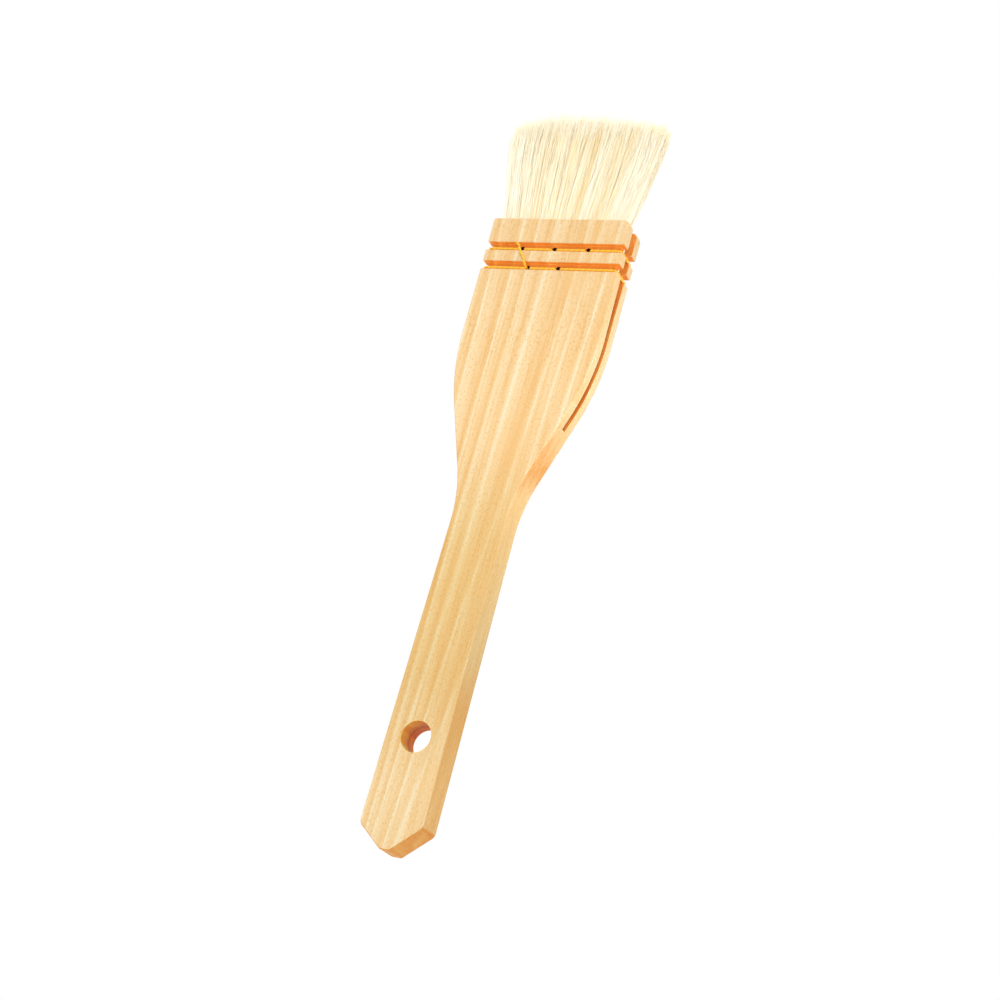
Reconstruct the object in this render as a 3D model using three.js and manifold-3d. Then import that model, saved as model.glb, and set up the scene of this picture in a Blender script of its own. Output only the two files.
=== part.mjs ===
// Flat pastry brush: a split wooden handle with layered sheets of goat hair sewn into the split.
// Units are millimetres. Z runs along the handle from the butt to the hair, X is the width and
// the front face looks towards -Y. The origin is the middle of the butt's small blunt tip.

import * as THREE from 'three';
import { mergeVertices } from 'three/addons/utils/BufferGeometryUtils.js';
import Module from 'manifold-3d';

const wasm = await Module();
wasm.setup();

// Handle seen from the front
const handleLength = 195;
const headWidth = 45;
const sideEnd = 157; // the head's straight sides stop here
const shoulderRadius = 77;
const flankAngle = THREE.MathUtils.degToRad(19.3);
const neckRadius = 50;
const neckWidth = 17;
const buttWidth = 19;
const buttTip = 3;
const cornerEase = 1.2;
const rightSide = { headCorner: 2, buttShoulder: 7.2 }; // the two sides were shaped by hand
const leftSide = { headCorner: 0.5, buttShoulder: 6.1 };

// Handle seen from the side: one board, sawn down the middle, its two leaves pushed apart by the hair
const thickness = 8.4;
const kerfBottom = 127.5;
const kerfWidth = 1.8;
const splay = 1; // how far each leaf's tip stands outwards

// Hang hole
const hangHoleRadius = 4.5;
const hangHoleHeight = 31.5;

// Two grooves run right round the head and carry the sewing
const grooveBottoms = [184.05, 177.55];
const grooveHeight = 2.7;
const grooveDepth = 1.4;
const stitchX = [[-10.9, -0.3, 10.7], [-7.4, 2.6]];
const stitchHoleRadius = 0.75;

// Thread
const threadRadius = 0.45;
const threadSink = 0.75; // from the wood's face down to the thread's middle
const threadRise = 1.1; // from a groove's lower wall up to the thread's middle
const tieRadius = 0.35;

// Hair
const hairWidth = 40;
const rootBottom = 174;
const rootTop = 197.2;
const bendHeight = 200; // the free hair turns about a line across the tuft here
const hairTip = 233;
const tipWidth = 49;
const tipDroop = 5; // the corners of the fan are shorter than its middle
const rootHalfDepth = 1.75;
const tipHalfDepth = 3;
const layerGap = 0.3;
const resinHeight = 3;

// Turns a flat shape so that its own x and y lie along the row's width and height.
const frontView = new THREE.Matrix4().makeBasis(
  new THREE.Vector3(1, 0, 0), new THREE.Vector3(0, 0, 1), new THREE.Vector3(0, -1, 0));
// The same for a shape drawn as depth and height.
const sideView = new THREE.Matrix4().makeBasis(
  new THREE.Vector3(0, 1, 0), new THREE.Vector3(0, 0, 1), new THREE.Vector3(1, 0, 0));

// Extrudes a shape evenly to both sides of the drawing plane.
function slab(shape, depth, curveSegments, view) {
  const geometry = new THREE.ExtrudeGeometry(shape, { depth, curveSegments, bevelEnabled: false });
  geometry.translate(0, 0, -depth / 2);
  return geometry.applyMatrix4(view);
}

// Joins the right half of an outline to the mirror image of a half that is drawn the same way.
function joined(right, left) {
  const turned = left.map((p) => new THREE.Vector2(-p.x, p.y)).reverse();
  return new THREE.Shape([...right, ...turned]);
}

function toManifold(geometry) {
  const bare = new THREE.BufferGeometry();
  bare.setAttribute('position', geometry.getAttribute('position'));
  if (geometry.index) bare.setIndex(geometry.index);
  const welded = mergeVertices(bare, 1e-4);
  return new wasm.Manifold(new wasm.Mesh({
    numProp: 3,
    vertProperties: new Float32Array(welded.getAttribute('position').array),
    triVerts: new Uint32Array(welded.index.array),
  }));
}

function toGeometry(solid) {
  const mesh = solid.getMesh();
  const geometry = new THREE.BufferGeometry();
  geometry.setAttribute('position', new THREE.BufferAttribute(mesh.vertProperties, 3));
  geometry.setIndex(new THREE.BufferAttribute(mesh.triVerts, 1));
  return geometry;
}

// Half of the board's thickness at a height; the leaves bow outwards above the kerf's bottom.
function halfThickness(z) {
  const along = Math.max(0, (z - kerfBottom) / (handleLength - kerfBottom));
  return thickness / 2 + splay * along ** 2;
}

// Half of the gap between the leaves.
function halfGap(z) {
  return halfThickness(z) - (thickness - kerfWidth) / 2;
}

function roundedRectangle(path, width, depth, radius) {
  const x = width / 2;
  const y = depth / 2;
  path.moveTo(x, radius - y);
  path.absarc(x - radius, y - radius, radius, 0, Math.PI / 2);
  path.absarc(radius - x, y - radius, radius, Math.PI / 2, Math.PI);
  path.absarc(radius - x, radius - y, radius, Math.PI, 1.5 * Math.PI);
  path.absarc(x - radius, radius - y, radius, 1.5 * Math.PI, 2 * Math.PI);
  path.closePath();
  return path;
}

// One half of the front outline: pointed butt, slender grip, flowing shoulder, straight-sided head.
function handleHalf({ headCorner, buttShoulder }) {
  const headHalf = headWidth / 2;
  const neckHalf = neckWidth / 2;
  const buttHalf = buttWidth / 2;
  const turned = 1 - Math.cos(flankAngle);
  const flankTop = new THREE.Vector2(
    headHalf - shoulderRadius * turned, sideEnd - shoulderRadius * Math.sin(flankAngle));
  const flankFootX = neckHalf + neckRadius * turned;
  const flankFootZ = flankTop.y - (flankTop.x - flankFootX) / Math.tan(flankAngle);
  const neckZ = flankFootZ - neckRadius * Math.sin(flankAngle);
  const facet = new THREE.Vector2(buttHalf - buttTip / 2, buttShoulder).normalize();

  const right = new THREE.Path();
  right.moveTo(buttTip / 2, 0);
  right.lineTo(buttHalf - facet.x * cornerEase, buttShoulder - facet.y * cornerEase);
  right.quadraticCurveTo(buttHalf, buttShoulder, buttHalf, buttShoulder + cornerEase);
  right.lineTo(neckHalf, neckZ);
  right.absarc(neckHalf + neckRadius, neckZ, neckRadius, Math.PI, Math.PI - flankAngle, true);
  right.lineTo(flankTop.x, flankTop.y);
  right.absarc(headHalf - shoulderRadius, sideEnd, shoulderRadius, -flankAngle, 0);
  right.lineTo(headHalf, handleLength - headCorner);
  right.absarc(headHalf - headCorner, handleLength - headCorner, headCorner, 0, Math.PI / 2);
  return right.getPoints(7);
}

// Side outline: a tuning fork with two leaves of even thickness.
function forkOutline() {
  const face = thickness / 2;
  const gap = kerfWidth / 2;
  const middle = (kerfBottom + handleLength) / 2;
  const right = new THREE.Path();
  right.moveTo(gap, kerfBottom);
  right.quadraticCurveTo(gap, middle, gap + splay, handleLength);
  right.lineTo(face + splay, handleLength);
  right.quadraticCurveTo(face, middle, face, kerfBottom);
  right.lineTo(face, 0);
  const half = right.getPoints(8).reverse();
  return joined(half, half);
}

// The cutter for one groove: everything outside a rounded core.
function grooveCutter(bottom) {
  const depth = 2 * (halfThickness(bottom + grooveHeight / 2) - grooveDepth);
  const ring = roundedRectangle(new THREE.Shape(), headWidth + 20, depth + 20, 1);
  ring.holes.push(roundedRectangle(new THREE.Path(), headWidth - 2 * grooveDepth, depth, 0.6));
  const geometry = new THREE.ExtrudeGeometry(
    ring, { depth: grooveHeight, curveSegments: 3, bevelEnabled: false });
  return toManifold(geometry.translate(0, 0, bottom));
}

// A straight rod through the thickness, used for the holes and for the thread inside them.
function rod(x, z, radius, length, sides) {
  return toManifold(new THREE.CylinderGeometry(radius, radius, length, sides).translate(x, 0, z));
}

function stitchHoles() {
  return grooveBottoms.flatMap((bottom, row) => stitchX[row].map(
    (x) => rod(x, bottom + threadRise, stitchHoleRadius, 30, 12)));
}

function handleGeometry() {
  const outline = joined(handleHalf(rightSide), handleHalf(leftSide));
  const blank = toManifold(slab(outline, 30, 7, frontView));
  const fork = toManifold(slab(forkOutline(), headWidth + 20, 8, sideView));
  const cutters = [
    rod(0, hangHoleHeight, hangHoleRadius, 30, 40),
    ...grooveBottoms.map(grooveCutter),
    ...stitchHoles(),
  ];
  return toGeometry(blank.intersect(fork).subtract(wasm.Manifold.union(cutters)));
}

// One row of sewing: a thread laid right round the head, with a leg through every hole.
function stitchGeometry(row) {
  const z = grooveBottoms[row] + threadRise;
  const halfDepth = halfThickness(z) - threadSink;
  const round = 0.3;
  const core = 2 * (threadRadius - round);
  const width = headWidth - 2 * threadSink;
  const ring = roundedRectangle(new THREE.Shape(), width + core, 2 * halfDepth + core, 0.8);
  ring.holes.push(roundedRectangle(new THREE.Path(), width - core, 2 * halfDepth - core, 0.5));
  const loop = new THREE.ExtrudeGeometry(ring, {
    depth: core, curveSegments: 3, bevelThickness: round, bevelSize: round, bevelSegments: 2,
  }).translate(0, 0, z - core / 2);
  const legs = stitchX[row].map((x) => rod(x, z, threadRadius - 0.05, 2 * halfDepth, 10));
  return toGeometry(wasm.Manifold.union([toManifold(loop), ...legs]));
}

// The thread's end: a cut stub over the upper row, and a length crossing down to the lower row.
function tieGeometry() {
  const upper = grooveBottoms[0];
  const lower = grooveBottoms[1] + grooveHeight;
  const [startX] = stitchX[0];
  const [endX] = stitchX[1];
  // Each point gives x, how far it lies below the wood's face, and z.
  const path = [
    [startX - 1.8, 0.3, upper + 2.2],
    [startX - 0.9, -0.2, upper + 1.5],
    [startX - 0.2, -0.4, upper + 0.6],
    [startX + 0.8, -0.5, upper - 1],
    [endX - 1.6, -0.5, lower + 1],
    [endX - 0.9, -0.4, lower - 0.1],
    [endX - 0.6, 0.2, lower - 0.7],
  ].map(([x, sink, z]) => new THREE.Vector3(x, sink - halfThickness(z), z));
  const section = new THREE.Shape().absarc(0, 0, tieRadius, 0, 2 * Math.PI);
  return new THREE.ExtrudeGeometry(section, {
    steps: 20, curveSegments: 4, extrudePath: new THREE.CatmullRomCurve3(path),
  });
}

// Where one of three stacked layers lies at a height: its front and back, as y.
function layerSpan(layer, halfStack) {
  const each = (2 * halfStack - 2 * layerGap) / 3;
  const front = -halfStack + layer * (each + layerGap);
  return [front, front + each];
}

// The part of a layer that is clamped between the leaves.
function rootGeometry(layer) {
  const [topFront, topBack] = layerSpan(layer, halfGap(handleLength) - 0.3);
  const [footFront, footBack] = layerSpan(layer, halfGap(rootBottom) - 0.3);
  const outline = new THREE.Shape([
    new THREE.Vector2(footFront, rootBottom),
    new THREE.Vector2(footBack, rootBottom),
    new THREE.Vector2(topBack, rootTop),
    new THREE.Vector2(topFront, rootTop),
  ]);
  const sheet = toManifold(slab(outline, hairWidth, 1, sideView));
  return toGeometry(sheet.subtract(wasm.Manifold.union(stitchHoles())));
}

// The free part of a layer: a fan of locks with uneven tips, a little thicker towards its end.
function freeGeometry(layer) {
  const locks = 9;
  const outer = layer !== 1;
  const foot = bendHeight - (outer ? 1.2 : 1.9);
  const tip = hairTip - (outer ? 2 : 0);
  const half = hairWidth / 2;
  const tipHalf = tipWidth / 2 - (outer ? 0.8 : 0);
  const fan = (share) => half + (tipHalf - half) * Math.sin(share * Math.PI / 2);
  const right = [0, 0.3, 0.65, 0.85].map(
    (share) => new THREE.Vector2(fan(share), foot + share * (tip - tipDroop - foot)));
  const left = right.map((p) => new THREE.Vector2(-p.x, p.y)).reverse();
  const tips = [];
  for (let i = 0; i <= 2 * locks; i += 1) {
    const across = 1 - i / locks;
    const uneven = 0.8 * Math.sin(2.4 * i + 1.7 * layer);
    const notch = i % 2 === 0 ? 2.2 : 0;
    tips.push(new THREE.Vector2(tipHalf * across, tip - tipDroop * across ** 2 + uneven - notch));
  }
  const geometry = new THREE.ExtrudeGeometry(
    new THREE.Shape([...right, ...tips, ...left]), { depth: 1, bevelEnabled: false });
  geometry.applyMatrix4(frontView);
  const position = geometry.getAttribute('position');
  for (let i = 0; i < position.count; i += 1) {
    const up = (position.getZ(i) - foot) / (hairTip - foot);
    const [front, back] = layerSpan(layer, THREE.MathUtils.lerp(rootHalfDepth, tipHalfDepth, up));
    position.setY(i, position.getY(i) < -0.5 ? front : back);
  }
  return geometry;
}

// The strip of resin that bonds the hair's butt ends at the foot of the clamped part.
function resinGeometry() {
  const top = rootBottom - 0.3;
  const depth = 2 * (halfGap(top - resinHeight) - 0.3);
  return new THREE.BoxGeometry(hairWidth, depth, resinHeight).translate(0, 0, top - resinHeight / 2);
}

const materials = {
  pine: new THREE.MeshStandardMaterial({ color: 0xdcb57c, roughness: 0.62, metalness: 0 }),
  hair: new THREE.MeshStandardMaterial({ color: 0xefe6cb, roughness: 0.75, metalness: 0 }),
  thread: new THREE.MeshStandardMaterial({ color: 0xe9a92b, roughness: 0.6, metalness: 0 }),
  resin: new THREE.MeshStandardMaterial({ color: 0xb98a45, roughness: 0.35, metalness: 0 }),
};

const brush = new THREE.Group();
brush.name = 'pastry_brush';

function addPart(name, geometry, material) {
  const flat = geometry.index ? geometry.toNonIndexed() : geometry;
  flat.computeVertexNormals();
  const mesh = new THREE.Mesh(flat, material);
  mesh.name = name;
  brush.add(mesh);
}

addPart('handle', handleGeometry(), materials.pine);
addPart('resin_strip', resinGeometry(), materials.resin);
['front', 'middle', 'back'].forEach((side, layer) => {
  addPart(`hair_root_${side}`, rootGeometry(layer), materials.hair);
  addPart(`hair_free_${side}`, freeGeometry(layer), materials.hair);
});
addPart('upper_stitch_thread', stitchGeometry(0), materials.thread);
addPart('lower_stitch_thread', stitchGeometry(1), materials.thread);
addPart('tied_thread_end', tieGeometry(), materials.thread);

export default brush;
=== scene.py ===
import math

import bmesh
import bpy
import numpy as np
from mathutils import Matrix, Vector


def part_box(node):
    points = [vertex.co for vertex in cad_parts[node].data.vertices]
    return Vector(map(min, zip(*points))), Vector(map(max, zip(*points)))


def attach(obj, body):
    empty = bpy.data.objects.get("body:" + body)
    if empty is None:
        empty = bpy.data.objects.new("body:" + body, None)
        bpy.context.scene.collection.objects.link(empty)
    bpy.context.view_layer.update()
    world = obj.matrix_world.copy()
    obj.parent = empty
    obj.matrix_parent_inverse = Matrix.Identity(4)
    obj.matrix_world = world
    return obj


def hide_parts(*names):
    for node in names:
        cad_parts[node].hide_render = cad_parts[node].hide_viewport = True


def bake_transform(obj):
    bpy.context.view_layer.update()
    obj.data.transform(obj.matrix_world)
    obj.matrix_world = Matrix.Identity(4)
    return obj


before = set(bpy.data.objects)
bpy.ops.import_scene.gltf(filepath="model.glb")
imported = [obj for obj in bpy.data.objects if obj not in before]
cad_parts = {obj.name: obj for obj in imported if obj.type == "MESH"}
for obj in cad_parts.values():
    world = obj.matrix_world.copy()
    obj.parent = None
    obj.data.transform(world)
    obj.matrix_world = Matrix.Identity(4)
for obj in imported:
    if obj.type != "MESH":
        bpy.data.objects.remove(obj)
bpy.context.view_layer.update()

MM = 0.001

# The handle, as packed
_, HANDLE_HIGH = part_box("handle")
HEAD_TOP = HANDLE_HIGH.z
HEAD_HALF = HANDLE_HIGH.x
THICKNESS = 8.4 * MM
LEAF = 3.3 * MM
KERF_BOTTOM = 127.5 * MM
SPLAY = 1.0 * MM  # how far each leaf bows out at its top
HANG_HOLE = Vector((0, 0, 31.5 * MM))
HANG_HOLE_RADIUS = 4.5 * MM
STITCH_HOLE_RADIUS = 0.75 * MM
WALL_MARGIN = 0.08 * MM  # how far off its true place a hole's or the kerf's wall may be

# Sewing: each row of thread lies in a groove
GROOVE_HEIGHT = 2.7 * MM
HOLE_RISE = 1.1 * MM  # the holes' middles above the groove's foot
THREAD_RISE = 0.65 * MM  # the thread's middle, between the holes
ROWS = (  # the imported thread's name, the groove's foot and the places of its holes
    ("upper_stitch_thread", 184.05 * MM, (-10.9 * MM, -0.3 * MM, 10.7 * MM)),
    ("lower_stitch_thread", 177.55 * MM, (-7.4 * MM, 2.6 * MM)),
)
THREAD_SINK = 0.75 * MM  # the thread's middle below the wood's face
THREAD_RADIUS = 0.45 * MM
THREAD_LAY = 1.8 * MM  # length of one full turn of the twist
PLY_RADIUS = 0.56  # each of the thread's two plies, as a share of its own radius
PLY_OFFSET = 0.5  # a ply's middle from the thread's middle, in the same measure

# Hair
ROOT_HALF = 20.7 * MM  # half of the tuft's width in the wood
HAIR_SHIFT = -0.8 * MM  # the tuft sits a little to the left
ROOT_Z = 174 * MM
TIP_Z = 234.8 * MM
TIP_DROOP = 5.5 * MM  # how much shorter the hair is at both sides than at its longest
TIP_PEAK = -0.45  # where it is longest, from -1 at the left to 1 at the right
TIP_SPREAD = 4.8 * MM  # how far each side leans out at the tips
TIP_SWELL = 0.55  # how much deeper the tuft is at its tips, as a share of the kerf's gap
SHEET_PITCH = 0.64  # from one sheet's middle to the next, as a share of half the gap
SHEET_DEPTH = 0.72  # a sheet's depth, in the same measure
HAIR_RADIUS = 0.068 * MM
STRANDS = 3200  # in each sheet
LOCKS = 90  # in each sheet: groups of strands that draw together towards their tips
STRAYS = 0.05  # share of the strands that hardly join their lock, and wander more


def half_thickness(z):
    """Half of the board's thickness at a height: the leaves bow outwards above the kerf."""
    along = max(0.0, (z - KERF_BOTTOM) / (HEAD_TOP - KERF_BOTTOM))
    return THICKNESS / 2 + SPLAY * along ** 2


# ---------------------------------------------------------------- shader building

class Graph:
    """One material and short calls that add nodes to it."""

    def __init__(self, name):
        self.material = bpy.data.materials.new(name)
        self.material.use_nodes = True
        self.tree = self.material.node_tree
        self.shader = self.tree.nodes["Principled BSDF"]
        self.place = self.add("ShaderNodeTexCoord").outputs["Object"]

    def add(self, kind, inputs=None, **settings):
        node = self.tree.nodes.new(kind)
        for key, value in settings.items():
            setattr(node, key, value)
        for key, value in (inputs or {}).items():
            self.feed(node.inputs[key], value)
        return node

    def feed(self, socket, value):
        if isinstance(value, bpy.types.NodeSocket):
            self.tree.links.new(value, socket)
        elif socket.type == "RGBA":
            socket.default_value = (*value, 1)
        else:
            socket.default_value = value

    def split(self, vector):
        return self.add("ShaderNodeSeparateXYZ", {0: vector}).outputs

    def attribute(self, name):
        return self.add("ShaderNodeAttribute", attribute_name=name).outputs["Fac"]

    def math(self, operation, a, b=0.0, c=0.0):
        return self.add("ShaderNodeMath", {0: a, 1: b, 2: c}, operation=operation).outputs[0]

    def scaled(self, x, y, z, shift=(0, 0, 0)):
        """The place on the object, stretched by a factor along each axis."""
        mapping = self.add("ShaderNodeMapping", {"Vector": self.place, "Scale": (x, y, z),
                                                 "Location": shift})
        return mapping.outputs[0]

    def noise(self, vector, detail=2.0, roughness=0.5):
        node = self.add("ShaderNodeTexNoise", {"Vector": vector, "Scale": 1.0, "Detail": detail,
                                               "Roughness": roughness})
        return node.outputs[0]

    def ramp(self, value, stops):
        node = self.add("ShaderNodeValToRGB", {0: value})
        ramp = node.color_ramp
        while len(ramp.elements) < len(stops):
            ramp.elements.new(0.5)
        for element, (position, colour) in zip(ramp.elements, stops):
            element.position = position
            element.color = (*colour, 1)
        return node.outputs[0]

    def fit(self, value, low, high, to_low=0.0, to_high=1.0):
        """Maps low..high to to_low..to_high, and stops at both ends."""
        node = self.add("ShaderNodeMapRange", {0: value, 1: low, 2: high, 3: to_low, 4: to_high})
        return node.outputs[0]

    def mix(self, factor, a, b, blend="MIX"):
        node = self.add("ShaderNodeMix", {0: factor, 6: a, 7: b}, data_type="RGBA",
                        blend_type=blend)
        return node.outputs[2]

    def tint(self, factor, colour, by):
        """Multiplies a colour by another, as far as the factor says."""
        return self.mix(factor, colour, by, "MULTIPLY")

    def bump(self, height, depth):
        inputs = {"Height": height, "Distance": depth, "Strength": 1.0}
        return self.add("ShaderNodeBump", inputs).outputs[0]

    def finish(self, colour, roughness, normal=None, **others):
        self.feed(self.shader.inputs["Base Color"], colour)
        self.feed(self.shader.inputs["Roughness"], roughness)
        if normal is not None:
            self.feed(self.shader.inputs["Normal"], normal)
        for key, value in others.items():
            self.feed(self.shader.inputs[key.replace("_", " ")], value)
        return self.material


# ---------------------------------------------------------------- materials

PALE_WOOD = (0.725, 0.625, 0.425)
PLAIN_WOOD = (0.692, 0.495, 0.258)


def pine_material():
    """Quarter-sawn pine: growth rings that run along the handle, fibres and fine flecks.

    The grip is yellower and the butt lighter. Painted shade turns the grooves, the kerf, the hang
    hole's wall and the facets that face down a deep orange, darkens the butt's sides, and makes the
    needle holes near black.
    """
    g = Graph("pine")
    x, y, z = g.split(g.place)
    sideways, _, slope = g.split(g.add("ShaderNodeTexCoord").outputs["Normal"])
    narrow_side = g.fit(g.math("ABSOLUTE", sideways), 0.75, 0.95)
    streaks = g.noise(g.scaled(1500, 1500, 45), 3.0, 0.65)
    flecks = g.noise(g.scaled(2600, 2600, 1100), 2.0, 0.6)

    colour = growth_rings(g, x, y, z)
    colour = g.mix(g.math("MULTIPLY", narrow_side, 0.7), colour, PLAIN_WOOD)
    colour = fibres(g, colour, streaks, flecks)
    # yellower grip, lighter butt, and painted shade on the butt's sides
    colour = lower_handle(g, colour, z, narrow_side)
    # painted shade in the grooves, the kerf and on the facets that face down
    colour = painted_cut_shade(g, colour, y, z, slope)
    # painted shade on the hang hole's wall
    colour = hang_hole_shade(g, colour, x, y, z)
    # painted shade: the needle holes' walls near black
    colour = g.mix(needle_hole_shade(g, x, z), colour, (0.035, 0.010, 0.002))

    height = g.math("ADD", g.math("MULTIPLY", streaks, 0.6), g.math("MULTIPLY", flecks, 0.5))
    rough = g.fit(streaks, 0.3, 0.7, 0.62, 0.5)
    return g.finish(colour, rough, g.bump(height, 0.04 * MM), Specular_IOR_Level=0.3)


def growth_rings(g, x, y, z):
    """Every ring fades from pale to tan and then turns pale again more sharply."""
    drift = g.noise(g.scaled(55, 30, 4, shift=(3, 1, 7)), 1.0)
    uneven = g.noise(g.scaled(160, 60, 1.5, shift=(1, 5, 2)), 0.0)
    pitch = g.math("MULTIPLY_ADD", z, 0.017, 3.5 * MM)
    ring = g.math("MULTIPLY_ADD", y, 0.15, x)
    ring = g.math("MULTIPLY_ADD", drift, 8 * MM, ring)
    ring = g.math("MULTIPLY_ADD", uneven, 6 * MM, ring)
    ring = g.math("DIVIDE", ring, pitch)
    bands = g.ramp(g.math("FRACT", ring), (
        (0.0, PALE_WOOD),
        (0.05, (0.715, 0.575, 0.355)),
        (0.15, (0.705, 0.520, 0.280)),
        (0.42, (0.690, 0.480, 0.240)),
        (0.70, (0.665, 0.425, 0.180)),
        (0.86, (0.680, 0.460, 0.215)),
        (0.96, (0.715, 0.575, 0.355)),
        (1.0, PALE_WOOD),
    ))
    # some years' rings are fainter
    year = g.add("ShaderNodeTexWhiteNoise", {"W": g.math("FLOOR", ring)},
                 noise_dimensions="1D").outputs["Value"]
    return g.mix(g.fit(year, 0, 1, 0.0, 0.5), bands, PLAIN_WOOD)


def fibres(g, colour, streaks, flecks):
    """Long lines, short streaks, flecks and a few darker blotches."""
    lines = g.noise(g.scaled(420, 420, 5, shift=(4, 2, 0)), 3.0, 0.65)
    colour = g.tint(0.5, colour, g.ramp(lines, (
        (0.32, (0.95, 0.82, 0.62)), (0.5, (1, 1, 1)), (0.68, (1.01, 1.07, 1.17)))))
    colour = g.tint(0.6, colour, g.ramp(streaks, (
        (0.30, (0.92, 0.78, 0.55)), (0.5, (1, 1, 1)), (0.70, (1.02, 1.08, 1.18)))))
    colour = g.tint(0.85, colour, g.ramp(flecks, (
        (0.30, (0.88, 0.70, 0.44)), (0.46, (1, 1, 1)), (0.72, (1.02, 1.05, 1.12)))))
    blotch = g.noise(g.scaled(80, 80, 45, shift=(9, 4, 2)), 3.0)
    return g.mix(g.fit(blotch, 0.5, 0.75, 0, 0.5), colour, (0.69, 0.43, 0.17))


def lower_handle(g, colour, z, narrow_side):
    """Yellower along the grip and lighter and cooler at the butt; painted shade darkens the butt's
    sides.
    """
    grip = g.math("MINIMUM", g.fit(z, 18 * MM, 50 * MM), g.fit(z, 120 * MM, 90 * MM))
    colour = g.tint(grip, colour, (0.93, 0.90, 0.74))
    colour = g.tint(g.fit(z, 45 * MM, 20 * MM), colour, (1.05, 1.10, 1.16))
    # painted shade: the butt's sides darker and more orange
    butt_side = g.math("MULTIPLY", narrow_side, g.fit(z, 55 * MM, 40 * MM))
    return g.tint(butt_side, colour, (1.0, 0.80, 0.50))


def painted_cut_shade(g, colour, y, z, slope):
    """Painted shade: a deeper orange in the grooves and the kerf, darker still on the grooves'
    floors, and on the facets that face down.
    """
    groove = in_groove(g, z)
    # painted shade: the grooves a deeper orange
    colour = g.tint(groove, colour, (1.28, 0.65, 0.17))
    floor = g.math("MULTIPLY", groove, g.fit(g.math("ABSOLUTE", slope), 0.6, 0.3))
    # painted shade: the grooves' floors darker still
    colour = g.tint(floor, colour, (0.80, 0.74, 0.60))
    # painted shade in the kerf
    colour = g.tint(in_kerf(g, y, z), colour, (1.05, 0.56, 0.19))
    # painted shade on the facets that face down
    return g.tint(facing_down_shade(g, z, slope), colour, (0.88, 0.52, 0.16))


def hang_hole_shade(g, colour, x, y, z):
    """Painted shade on the hang hole's wall: orange, paler towards the front, with a dark ring past
    its middle.
    """
    wall = in_hole(g, x, z, (HANG_HOLE.x, HANG_HOLE.z), HANG_HOLE_RADIUS)
    return g.tint(wall, colour, g.ramp(g.fit(y, -THICKNESS / 2, THICKNESS / 2), (
        (0.0, (1.15, 1.06, 0.42)),
        (0.44, (1.05, 0.82, 0.24)),
        (0.60, (0.78, 0.36, 0.01)),
        (0.74, (0.95, 0.52, 0.06)),
        (1.0, (0.88, 0.42, 0.03)),
    )))


def in_hole(g, x, z, place, radius):
    """1 on the wall of a round hole through the board, 0 outside it."""
    across = g.math("SUBTRACT", x, place[0])
    up = g.math("SUBTRACT", z, place[1])
    away = g.math("SQRT", g.math("ADD", g.math("MULTIPLY", across, across),
                                 g.math("MULTIPLY", up, up)))
    return g.math("LESS_THAN", away, radius + WALL_MARGIN)


def facing_down_shade(g, z, slope):
    """Painted shade on the facets that face down: fully at the butt's facets, partly on the neck's
    sides.
    """
    patchy = g.fit(g.noise(g.scaled(120, 400, 90), 3.0), 0.35, 0.6, 0.45, 1.0)
    neck = g.math("MULTIPLY", g.fit(slope, -0.36, -0.18, 1.0, 0.0), g.fit(z, 135 * MM, 119 * MM))
    neck = g.math("MULTIPLY", neck, patchy)
    butt = g.math("MULTIPLY", g.fit(slope, -0.4, -0.15, 1.0, 0.0), g.math("LESS_THAN", z, 12 * MM))
    return g.math("MAXIMUM", neck, butt)


def in_groove(g, z):
    """1 in the two grooves and 0 elsewhere."""
    whole = 0.0
    for _, foot, _ in ROWS:
        middle = foot + GROOVE_HEIGHT / 2
        whole = g.math("ADD", whole, g.math("COMPARE", z, middle, GROOVE_HEIGHT / 2 + 0.04 * MM))
    return whole


def in_kerf(g, y, z):
    """1 on the leaves' inner faces and the kerf's floor, 0 elsewhere."""
    along = g.math("DIVIDE", g.math("SUBTRACT", z, KERF_BOTTOM), HEAD_TOP - KERF_BOTTOM)
    gap = g.math("MULTIPLY_ADD", g.math("MULTIPLY", along, along), SPLAY,
                 THICKNESS / 2 - LEAF + WALL_MARGIN)
    inside = g.math("LESS_THAN", g.math("ABSOLUTE", y), gap)
    return g.math("MULTIPLY", inside, g.math("GREATER_THAN", z, KERF_BOTTOM - 0.1 * MM))


def needle_hole_shade(g, x, z):
    """1 on the walls of the needle holes, painted near black as the shade inside them, 0 elsewhere.
    """
    whole = 0.0
    for _, foot, xs in ROWS:
        for hole in xs:
            mark = in_hole(g, x, z, (hole, foot + HOLE_RISE), STITCH_HOLE_RADIUS)
            whole = g.math("MAXIMUM", whole, mark)
    return whole


def hair_material():
    """Pale goat hair: every strand has its own shade, the inner ones painted darker and yellower as
    shade deep in the tuft, whiter at the tips and at both sides.
    """
    g = Graph("goat_hair")
    shade = g.attribute("shade")
    colour = g.ramp(shade, (
        (0.0, (0.94, 0.76, 0.41)),
        (0.3, (0.97, 0.86, 0.59)),
        (0.65, (0.98, 0.93, 0.76)),
        (1.0, (0.99, 0.97, 0.89)),
    ))
    patch = g.noise(g.scaled(700, 700, 80), 2.0)
    colour = g.mix(g.fit(patch, 0.4, 0.7, 0.0, 0.25), colour, (0.96, 0.83, 0.54))
    across, _, _ = g.split(g.place)
    outer = g.fit(g.math("ABSOLUTE", across), 11 * MM, 21 * MM, 0.0, 0.4)
    pale = g.math("MAXIMUM", outer, g.fit(g.attribute("along"), 0.75, 1.0, 0.0, 0.8))
    colour = g.mix(pale, colour, (0.99, 0.98, 0.94))
    return g.finish(colour, g.fit(shade, 0, 1, 0.7, 0.55), Specular_IOR_Level=0.08)


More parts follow.
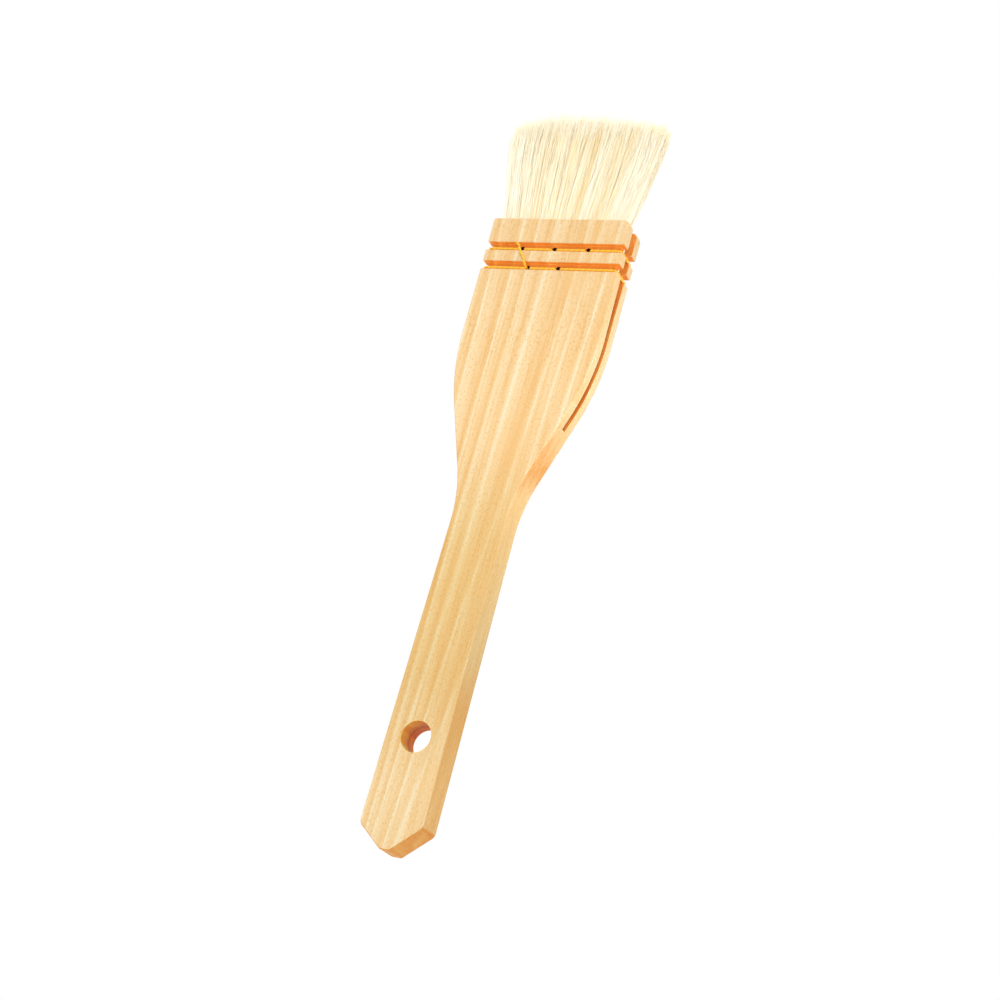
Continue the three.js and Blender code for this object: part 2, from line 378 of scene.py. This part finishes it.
def thread_material():
    """Golden twisted thread with fine filaments along each ply, and painted highlights along the
    twist.
    """
    g = Graph("golden_thread")
    filaments = g.noise(g.scaled(9000, 9000, 9000), 2.0)
    colour = g.ramp(g.attribute("shade"), (
        (0.0, (0.66, 0.26, 0.0)),
        (0.45, (0.82, 0.42, 0.0)),
        (0.8, (0.90, 0.53, 0.015)),
        (1.0, (0.96, 0.70, 0.12)),
    ))
    colour = g.mix(g.fit(filaments, 0.4, 0.75, 0.0, 0.3), colour, (1.0, 0.80, 0.3))
    normal = g.bump(filaments, 0.03 * MM)
    return g.finish(colour, 0.5, normal, Specular_IOR_Level=0.3)


def resin_material():
    """Cured resin round the hair's butt ends: amber, slightly lumpy, with clouds in it."""
    g = Graph("amber_resin")
    clouds = g.noise(g.scaled(300, 300, 300), 4.0)
    colour = g.ramp(clouds, ((0.3, (0.42, 0.22, 0.06)), (0.7, (0.66, 0.42, 0.16))))
    lumps = g.noise(g.scaled(900, 900, 900), 2.0)
    return g.finish(colour, g.fit(lumps, 0.3, 0.7, 0.2, 0.4), g.bump(lumps, 0.15 * MM))


def floor_material():
    """Pale studio paper, a little cloudy."""
    g = Graph("studio_floor")
    cloud = g.noise(g.scaled(2, 2, 2), 2.0)
    colour = g.mix(cloud, (0.90, 0.90, 0.90), (0.92, 0.92, 0.92))
    return g.finish(colour, 0.9)


# ---------------------------------------------------------------- mesh helpers

def new_object(name, mesh, material, smooth_below=None):
    """Puts a mesh in the scene. Edges that turn by fewer degrees than smooth_below look round."""
    mesh.materials.append(material)
    piece = bpy.data.objects.new(name, mesh)
    bpy.context.collection.objects.link(piece)
    if smooth_below is not None:
        mesh.polygons.foreach_set("use_smooth", [True] * len(mesh.polygons))
        mesh.set_sharp_from_angle(angle=math.radians(smooth_below))
    return piece


def cross_directions(points, up, closed):
    """Two directions square to a path at each of its points, and to each other."""
    if closed:
        along = np.roll(points, -1, axis=-2) - np.roll(points, 1, axis=-2)
    else:
        along = np.gradient(points, axis=-2)
    along /= np.linalg.norm(along, axis=-1, keepdims=True)
    side = np.cross(along, up)
    side /= np.linalg.norm(side, axis=-1, keepdims=True)
    return side, np.cross(side, along)


def tube_faces(tubes, rings, sides, closed):
    """The corners of every face in one row, and how many corners each face has."""
    spans = rings if closed else rings - 1
    step = np.arange(spans)[:, None]
    here = step * sides + np.arange(sides)
    there = ((step + 1) % rings) * sides + np.arange(sides)
    quads = np.stack([here, np.roll(here, -1, 1), np.roll(there, -1, 1), there], -1).reshape(-1, 4)
    offsets = np.arange(tubes)[:, None, None] * rings * sides
    quads = (quads[None] + offsets).reshape(-1, 4)
    ends = []  # one flat face closes each end
    if not closed:
        first = np.arange(sides)[::-1]
        last = np.arange(sides) + (rings - 1) * sides
        ends = np.concatenate([(first + k * rings * sides, last + k * rings * sides)
                               for k in range(tubes)])
    corners = np.concatenate([quads.ravel(), np.ravel(ends).astype(int)])
    sizes = np.concatenate([np.full(len(quads), 4), np.full(len(ends), sides)])
    return corners, sizes


def tubes_mesh(name, centres, radii, up, sides, attributes, closed=False, smooth=True):
    """One mesh of many tubes. centres is (tubes, rings, 3); radii and attributes (tubes, rings)."""
    side, other = cross_directions(centres, up, closed)
    turn = np.arange(sides) * 2 * math.pi / sides
    ring = (np.cos(turn)[:, None] * side[:, :, None, :]
            + np.sin(turn)[:, None] * other[:, :, None, :])
    points = centres[:, :, None, :] + radii[:, :, None, None] * ring
    tubes, rings = radii.shape
    corners, sizes = tube_faces(tubes, rings, sides, closed)
    mesh = bpy.data.meshes.new(name)
    mesh.vertices.add(points.size // 3)
    mesh.vertices.foreach_set("co", points.ravel())
    mesh.loops.add(len(corners))
    mesh.loops.foreach_set("vertex_index", corners.astype(np.int32))
    mesh.polygons.add(len(sizes))
    starts = np.concatenate([[0], np.cumsum(sizes)[:-1]])
    mesh.polygons.foreach_set("loop_start", starts.astype(np.int32))
    mesh.update(calc_edges=True)
    mesh.polygons.foreach_set("use_smooth", [smooth] * len(sizes))
    for key, values in attributes.items():
        data = mesh.attributes.new(key, "FLOAT", "POINT")
        data.data.foreach_set("value", np.repeat(values.ravel(), sides))
    mesh.validate()
    return mesh


# ---------------------------------------------------------------- handle

def on_hole_wall(edge, x, z, radius):
    """Whether an edge lies on the wall of a round hole through the board."""
    return all(math.hypot(v.co.x - x, v.co.z - z) < radius for v in edge.verts)


def round_over(bm, width, spared):
    """Rounds the board's sharp edges, except those that spared says yes to."""
    sharp = [e for e in bm.edges if e.is_manifold and e.calc_face_angle() > math.radians(36)]
    bmesh.ops.bevel(bm, geom=[e for e in sharp if not spared(e)], offset=width, segments=3,
                    profile=0.5, affect="EDGES", clamp_overlap=False)


def make_handle(material):
    """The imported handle's shape with its arrises eased, as sandpaper leaves them."""
    bm = bmesh.new()
    bm.from_mesh(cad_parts["handle"].data)
    bmesh.ops.remove_doubles(bm, verts=bm.verts, dist=1e-6)
    bmesh.ops.dissolve_limit(bm, angle_limit=math.radians(0.4), verts=bm.verts, edges=bm.edges)
    holes = [(x, foot + HOLE_RISE, STITCH_HOLE_RADIUS) for _, foot, xs in ROWS for x in xs]
    holes.append((HANG_HOLE.x, HANG_HOLE.z, HANG_HOLE_RADIUS))

    def at_hole(edge):
        return any(on_hole_wall(edge, x, z, radius + WALL_MARGIN) for x, z, radius in holes)

    round_over(bm, 0.32 * MM, at_hole)
    mesh = bpy.data.meshes.new("wooden_handle")
    bm.to_mesh(mesh)
    bm.free()
    piece = new_object("wooden_handle", mesh, material, smooth_below=45)
    weighted = piece.modifiers.new("weighted", "WEIGHTED_NORMAL")
    weighted.keep_sharp = True
    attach(piece, "handle")
    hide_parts("handle")


# ---------------------------------------------------------------- thread

def head_loop(z, spacing):
    """Points round the head at a height, where the thread's middle lies in the groove."""
    corner = 1.0 * MM
    inner_x = HEAD_HALF - THREAD_SINK - corner
    inner_y = half_thickness(z) - THREAD_SINK - corner
    arc = corner * math.pi / 2
    lengths = [2 * inner_x, arc, 2 * inner_y, arc] * 2
    total = sum(lengths)
    count = round(total / spacing)
    points = []
    for i in range(count):
        s = i / count * total
        part = 0
        while s > lengths[part]:
            s -= lengths[part]
            part += 1
        turn = s / corner
        x, y = (
            (s - inner_x, -inner_y - corner),
            (inner_x + corner * math.sin(turn), -inner_y - corner * math.cos(turn)),
            (inner_x + corner, s - inner_y),
            (inner_x + corner * math.cos(turn), inner_y + corner * math.sin(turn)),
        )[part % 4]
        sign = -1 if part >= 4 else 1  # the second half of the way is the first, turned round
        points.append((sign * x, sign * y, z))
    return np.array(points)


def dive(points, holes):
    """Lets the thread rise to each hole and drop into it, on both faces."""
    depth = 3.0 * MM
    width = 0.85 * MM
    for x in holes:
        share = np.exp(-((points[:, 0] - x - 0.1 * MM) / width) ** 4)
        points[:, 1] -= np.sign(points[:, 1]) * share * depth
        points[:, 2] += share * (HOLE_RISE - THREAD_RISE)
    return points


def evenly(points, spacing):
    """The same closed path with its points an even distance apart."""
    ring = np.vstack([points, points[:1]])
    travelled = np.concatenate([[0], np.cumsum(np.linalg.norm(np.diff(ring, axis=0), axis=1))])
    at = np.linspace(0, travelled[-1], round(travelled[-1] / spacing), endpoint=False)
    return np.stack([np.interp(at, travelled, ring[:, k]) for k in range(3)], 1)


def plied(name, path, closed=False, radius=THREAD_RADIUS):
    """A thread of two plies wound round a path, as a mesh."""
    steps = np.linalg.norm(np.diff(path, axis=0, append=path[:1]), axis=1)
    travelled = np.concatenate([[0], np.cumsum(steps)[:-1]])
    length = travelled[-1] + (steps[-1] if closed else 0)
    turns = max(1, round(length / THREAD_LAY))
    phase = travelled / length * turns * 2 * math.pi
    # the direction given is one that no thread here runs along
    side, other = cross_directions(path, (0.05, 0.12, 1.0), closed)
    centres = []
    for k in range(2):
        turn = (phase + k * math.pi)[:, None]
        centres.append(path + radius * PLY_OFFSET * (np.cos(turn) * side + np.sin(turn) * other))
    centres = np.array(centres)
    radii = np.full(centres.shape[:2], radius * PLY_RADIUS)
    # fine bands of painted highlight and shade along each ply, and one ply painted paler than the
    # other, as the twist catches the light
    shade = 0.4 + 0.2 * np.cos(phase * 7) + np.zeros(centres.shape[:2])
    shade[1] += 0.35
    return tubes_mesh(name, centres, radii, side, 8, {"shade": shade}, closed)


def join_meshes(name, meshes, material):
    """One object from several meshes, which it uses up."""
    bm = bmesh.new()
    for mesh in meshes:
        bm.from_mesh(mesh)
        bpy.data.meshes.remove(mesh)
    whole = bpy.data.meshes.new(name)
    bm.to_mesh(whole)
    bm.free()
    return new_object(name, whole, material)


def spline(knots, count):
    """A smooth curve through the knots (Catmull-Rom)."""
    knots = np.array(knots)
    padded = np.concatenate([2 * knots[:1] - knots[1:2], knots, 2 * knots[-1:] - knots[-2:-1]])
    at = np.linspace(0, len(knots) - 1 - 1e-9, count)
    i = at.astype(int)
    t = (at - i)[:, None]
    a, b, c, d = (padded[i + k] for k in range(4))
    return 0.5 * (2 * b + (c - a) * t + (2 * a - 5 * b + 4 * c - d) * t ** 2
                  + (3 * b - a - 3 * c + d) * t ** 3)


def make_stitches(material):
    """Each row: a closed loop round the head, and a leg through the board at every hole."""
    for node, foot, holes in ROWS:
        loop = evenly(dive(head_loop(foot + THREAD_RISE, 0.06 * MM), holes), 0.12 * MM)
        meshes = [plied(node, loop, closed=True)]
        z = foot + HOLE_RISE
        inner = half_thickness(z) - THREAD_SINK - 2.0 * MM
        for x in holes:
            leg = np.array([(x, y, z) for y in np.linspace(-inner, inner, 24)])
            meshes.append(plied(node, leg, radius=THREAD_RADIUS * 0.8))
        piece = join_meshes(node.replace("stitch", "sewing"), meshes, material)
        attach(piece, "handle")
        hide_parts(node)


def make_tied_end(material):
    """The cut end over the upper row, and the length that crosses to the lower row's first hole."""
    (_, upper_foot, upper_holes), (_, lower_foot, lower_holes) = ROWS
    upper, lower = upper_foot + HOLE_RISE, lower_foot + HOLE_RISE
    start, end = upper_holes[0], lower_holes[0]
    knots = [(x, sink - half_thickness(z), z) for x, sink, z in (
        (start - 1.9 * MM, 0.15 * MM, upper + 1.4 * MM),
        (start - 1.1 * MM, -0.1 * MM, upper + 0.8 * MM),
        (start - 0.3 * MM, -0.3 * MM, upper - 0.4 * MM),
        (start + 0.6 * MM, -0.42 * MM, upper - 2.2 * MM),
        (end - 1.7 * MM, -0.42 * MM, lower + 2.9 * MM),
        (end - 1.0 * MM, -0.2 * MM, lower + 1.2 * MM),
        (end - 0.55 * MM, 0.9 * MM, lower + 0.2 * MM),
        (end - 0.3 * MM, 2.4 * MM, lower),
    )]
    mesh = plied("tied_thread", spline(knots, 90), radius=THREAD_RADIUS * 0.85)
    piece = new_object("tied_thread", mesh, material)
    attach(piece, "handle")
    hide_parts("tied_thread_end")


# ---------------------------------------------------------------- hair

def new_locks(rng):
    """Groups of strands: their middles, their lean, and how much paler and shorter they are."""
    return {
        "x": rng.uniform(-1, 1, LOCKS),
        "y": rng.uniform(-0.5, 0.5, LOCKS),
        "lean": rng.normal(0, 1, (LOCKS, 2)) * (0.8 * MM, 0.2 * MM),
        "tone": rng.normal(0, 0.12, LOCKS),
        "short": rng.exponential(0.3 * MM, LOCKS),
    }


def tip_heights(rng, across, short):
    """Where the strands end: some are cut short, and the tuft droops to both sides."""
    reach = np.where(across < TIP_PEAK, 1 + TIP_PEAK, 1 - TIP_PEAK)
    droop = TIP_DROOP * ((across - TIP_PEAK) / reach) ** 2
    short = rng.exponential(1.9 * MM, STRANDS) + short + droop
    return TIP_Z + 1.5 * MM - np.minimum(short, 9 * MM) + rng.normal(0, 0.6 * MM, STRANDS)


def strand_paths(rng, layer, across, depth, stray, own, tip_z):
    """Points along every strand, and how far out of the wood each is, from 0 to 1.

    own holds the values of each strand's lock.
    """
    share = np.array([0, 0.36, 0.41, 0.48, 0.56, 0.65, 0.74, 0.83, 0.92, 1.0])
    z = ROOT_Z + share * (tip_z[:, None] - ROOT_Z)
    free = np.clip((z - HEAD_TOP) / (TIP_Z - HEAD_TOP), 0, 1)

    # an even fan of strands
    half_width = ROOT_HALF + TIP_SPREAD * np.sin(free * math.pi / 2)
    x = HAIR_SHIFT + across[:, None] * half_width
    gap_half = np.array([half_thickness(value) - LEAF for value in
                         np.minimum(z, HEAD_TOP).ravel()]).reshape(z.shape) - 0.12 * MM
    swell = 1 + TIP_SWELL * np.sin(free * math.pi / 2)
    centre = layer * SHEET_PITCH * gap_half * swell
    y = centre + depth[:, None] * SHEET_DEPTH * gap_half * swell

    # strands draw together towards their lock's middle, and each lock leans its own way
    gather = 0.22 * free ** 1.2
    gather[stray] *= 0.1
    lock_x = HAIR_SHIFT + own["x"][:, None] * half_width
    lock_y = centre + own["y"][:, None] * SHEET_DEPTH * gap_half * swell
    x += (lock_x - x) * gather + own["lean"][:, :1] * free ** 1.5
    y += (lock_y - y) * gather + own["lean"][:, 1:] * free ** 1.5

    # and each strand wanders and waves a little
    wander = rng.normal(0, 1, (STRANDS, 3))
    wander[stray] *= 2.5
    x += wander[:, :1] * 0.55 * MM * free ** 1.3
    x += 0.14 * MM * np.sin(free * 9 + wander[:, 2:] * 3) * np.minimum(free * 3, 1)
    y += wander[:, 1:2] * 0.2 * MM * free ** 1.3
    return np.stack([x, y, z], -1), free


def hair_sheet(name, layer, seed, material):
    """One combed sheet of hair as separate strands, from the resin to the tips."""
    rng = np.random.default_rng(seed)
    locks = new_locks(rng)
    across = rng.uniform(-1, 1, STRANDS)
    depth = rng.uniform(-0.5, 0.5, STRANDS)
    nearest = np.argmin(np.abs(across[:, None] - locks["x"])
                        + 0.08 * np.abs(depth[:, None] - locks["y"]), axis=1)
    own = {key: values[nearest] for key, values in locks.items()}
    stray = rng.random(STRANDS) < STRAYS
    tip_z = tip_heights(rng, across, own["short"])
    centres, free = strand_paths(rng, layer, across, depth, stray, own, tip_z)

    thick = HAIR_RADIUS * rng.uniform(0.75, 1.2, (STRANDS, 1))
    radii = thick * np.clip(1.35 - 1.05 * free ** 3, 0.3, 1.0)
    # painted shade: strands deep in the tuft get darker, yellower tones
    buried = 1 - np.abs(layer * SHEET_PITCH + depth * SHEET_DEPTH)  # inner ones are yellower
    tone = 0.68 - 0.5 * buried + own["tone"] + rng.normal(0, 0.17, STRANDS)
    shade = np.repeat(np.clip(tone, 0, 1)[:, None], free.shape[1], 1)
    mesh = tubes_mesh(name, centres, radii, (0.3, 1.0, 0.1), 3,
                      {"shade": shade, "along": free}, smooth=False)
    piece = new_object(name, mesh, material)
    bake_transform(piece)
    return piece


def make_hair(material):
    """Three sheets, front to back. Each stands for a clamped root and a free fan."""
    for layer, side in ((-1, "front"), (0, "middle"), (1, "back")):
        piece = hair_sheet(f"goat_hair_{side}", layer, 11 + layer, material)
        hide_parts(f"hair_root_{side}", f"hair_free_{side}")


# ---------------------------------------------------------------- stage

def make_floor():
    """A wide plain floor, a little below the low camera."""
    bm = bmesh.new()
    bmesh.ops.create_grid(bm, x_segments=8, y_segments=8, size=4.0)
    mesh = bpy.data.meshes.new("floor")
    bm.to_mesh(mesh)
    bm.free()
    floor = new_object("floor", mesh, floor_material())
    floor.location.z = -0.10


def add_lamp(name, data, place, target):
    """Puts a lamp in the scene, aimed at its target."""
    lamp = bpy.data.objects.new(name, data)
    lamp.location = place
    lamp.rotation_euler = (Vector(target) - Vector(place)).to_track_quat("-Z", "Y").to_euler()
    bpy.context.collection.objects.link(lamp)


def area_light(name, place, target, size, power, colour=(1, 1, 1)):
    """A round soft lamp."""
    data = bpy.data.lights.new(name, "AREA")
    data.shape = "DISK"
    data.size = size
    data.energy = power
    data.color = colour
    add_lamp(name, data, place, target)


def spot_light(name, place, target, angle, power):
    """A lamp with a narrow cone and a soft edge. The angle is in degrees."""
    data = bpy.data.lights.new(name, "SPOT")
    data.shadow_soft_size = 0.06
    data.spot_size = math.radians(angle)
    data.spot_blend = 0.6
    data.energy = power
    add_lamp(name, data, place, target)


def make_lights():
    """A lamp above the front, a low one, one over the hair from behind, and a narrow one on the
    right side of the head and neck.
    """
    middle = (0, 0, 0.12)
    area_light("key", (-0.15, -0.75, 1.15), middle, 0.7, 5.4, (1.0, 0.985, 0.96))
    area_light("low", (0.35, -0.75, -0.02), (0, 0, 0.15), 0.4, 1.6)
    area_light("top", (0.05, 0.12, 0.60), (0, 0, 0.21), 0.3, 1.3)
    spot_light("side", (0.50, -0.12, 0.10), (0.02, 0, 0.135), 14, 9.0)


def make_world():
    """A white room, which lights the brush a little less brightly than it looks."""
    world = bpy.data.worlds.new("studio")
    world.use_nodes = True
    nodes, links = world.node_tree.nodes, world.node_tree.links
    backdrop = nodes["Background"]
    backdrop.inputs[0].default_value = (1, 1, 1, 1)
    glow = nodes.new("ShaderNodeBackground")
    glow.inputs[0].default_value = (1, 1, 1, 1)
    glow.inputs[1].default_value = 0.85
    seen = nodes.new("ShaderNodeLightPath")
    choose = nodes.new("ShaderNodeMixShader")
    links.new(seen.outputs["Is Camera Ray"], choose.inputs[0])
    links.new(glow.outputs[0], choose.inputs[1])
    links.new(backdrop.outputs[0], choose.inputs[2])
    links.new(choose.outputs[0], nodes["World Output"].inputs[0])
    scene = bpy.context.scene
    scene.world = world
    scene.view_settings.view_transform = "Standard"
    scene.cycles.diffuse_bounces = 10  # light passes on from one pale hair to the next


def make_camera():
    """Low and to the brush's right, rolled as the leaning brush was seen."""
    place = Vector((0.2365, -0.4385, -0.0798))
    look = Vector((-0.4408, 0.8276, 0.3476)).normalized()
    roll = math.radians(15.71)
    data = bpy.data.cameras.new("camera")
    data.sensor_width = 36
    data.lens = 67.07
    camera = bpy.data.objects.new("camera", data)
    level = look.to_track_quat("-Z", "Y").to_matrix()
    camera.matrix_world = Matrix.Translation(place) @ (
        level @ Matrix.Rotation(roll, 3, "Z")).to_4x4()
    bpy.context.collection.objects.link(camera)
    bpy.context.scene.camera = camera


make_camera()
make_lights()
make_world()
make_floor()
pine = pine_material()
golden = thread_material()
make_handle(pine)
make_stitches(golden)
make_tied_end(golden)
make_hair(hair_material())
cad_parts["resin_strip"].material_slots[0].material = resin_material()
